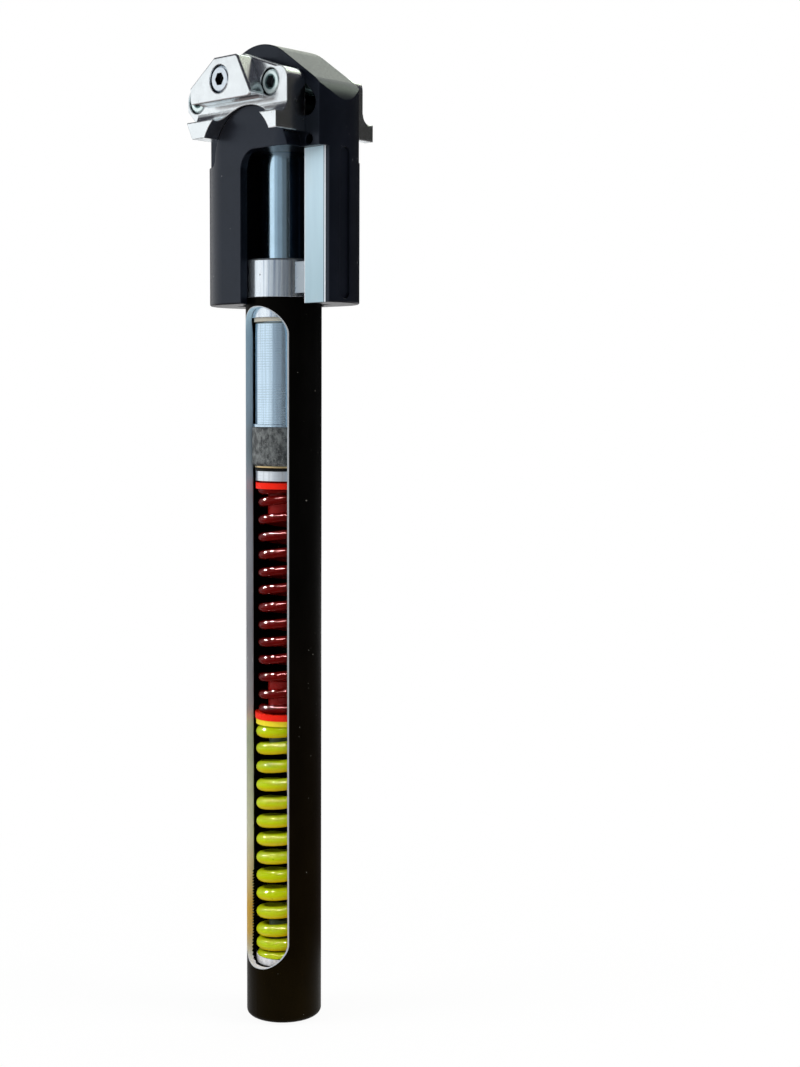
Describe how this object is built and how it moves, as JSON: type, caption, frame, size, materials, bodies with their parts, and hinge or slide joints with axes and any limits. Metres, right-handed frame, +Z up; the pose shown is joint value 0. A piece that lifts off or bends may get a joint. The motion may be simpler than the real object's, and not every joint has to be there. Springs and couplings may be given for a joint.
{
  "type": "suspension seatpost",
  "caption": "Sprung bicycle seatpost as a cutaway: slotted black tube with a red and a yellow coil spring, windowed oblong head and tilting two-rail saddle clamp.",
  "frame": {"origin": "centre of the tube's bottom end", "axes": "+Z up the tube, +X to the front of the saddle, the cutaway side faces -Y"},
  "size_m": [0.062, 0.0496, 0.349],
  "materials": {
    "black_anodised": "satin black anodised tube",
    "black_anodised_cast": "satin black anodised housing, machined faces",
    "bright_aluminium": "turned and polished, clear anodised",
    "turned_aluminium": "turned with fine tool rings",
    "clamp_aluminium": "forged, tumbled and polished",
    "polished_shaft": "hard chromed and polished steel",
    "bolt_steel": "machined steel",
    "brass": "plain brass",
    "seal_rubber": "smooth black rubber",
    "bush_plastic": "dull grey acetal",
    "black_plastic": "black moulded plastic",
    "grey_green_plastic": "grey-green moulded plastic",
    "red_plastic": "bright red moulded plastic",
    "yellow_plastic": "yellow moulded plastic",
    "red_spring_paint": "gloss dark red coating on spring steel",
    "yellow_spring_paint": "gloss yellow-green coating on spring steel"
  },
  "bodies": {
    "tube": {"seat_tube": "black_anodised", "collar_nut": "bright_aluminium", "collar_bushing": "bush_plastic", "shaft_wiper": "seal_rubber", "guide_shoes": "bush_plastic", "shoe_screws": "bolt_steel", "topout_washer": "seal_rubber", "low_spring_seat": "black_plastic", "low_spring_peg": "grey_green_plastic", "preload_plug": "black_plastic", "lower_spring": "yellow_spring_paint"},
    "head": {"head_housing": "black_anodised_cast", "shaft": "polished_shaft", "spacer_sleeve": "turned_aluminium", "guide_bush": "bush_plastic", "brass_shim": "brass", "shaft_seal": "seal_rubber", "piston_ring": "bolt_steel", "upper_spring_guide": "red_plastic", "guide_screw": "bolt_steel"},
    "mid_seat": {"red_spring_seat": "red_plastic", "yellow_spring_seat": "yellow_plastic", "seat_dowel": "grey_green_plastic", "upper_spring": "red_spring_paint"},
    "saddle_clamp": {"clamp_block_left": "clamp_aluminium", "clamp_block_right": "clamp_aluminium", "front_tilt_bolt": "bolt_steel", "rear_tilt_bolt": "bolt_steel", "tilt_nuts": "bolt_steel"},
    "jaw_left": {"jaw_plate_left": "clamp_aluminium", "jaw_bolt_left": "bolt_steel"},
    "jaw_right": {"jaw_plate_right": "clamp_aluminium", "jaw_bolt_right": "bolt_steel"}
  },
  "joints": [
    {"name": "suspension_travel", "type": "slide", "parent": "tube", "child": "head", "axis": [0, 0, -1], "range_m": [0, 0.035], "stiffness_N_per_m": 20000, "springref_m": -0.01, "deforming": ["upper_spring"]},
    {"name": "mid_seat_slide", "type": "slide", "parent": "tube", "child": "mid_seat", "axis": [0, 0, -1], "range_m": [0, 0.0095], "deforming": ["lower_spring"]},
    {"name": "clamp_tilt", "type": "hinge", "parent": "head", "child": "saddle_clamp", "pos_m": [0.001, 0, 0.308], "axis": [0, 1, 0], "range_deg": [-15, 15]},
    {"name": "jaw_left_open", "type": "slide", "parent": "saddle_clamp", "child": "jaw_left", "axis": [0, -1, 0], "range_m": [0, 0.0075]},
    {"name": "jaw_right_open", "type": "slide", "parent": "saddle_clamp", "child": "jaw_right", "axis": [0, 1, 0], "range_m": [0, 0.0075]}
  ],
  "couplings": [
    {"joint": "mid_seat_slide", "follows": "suspension_travel", "ratio": 0.27}
  ]
}
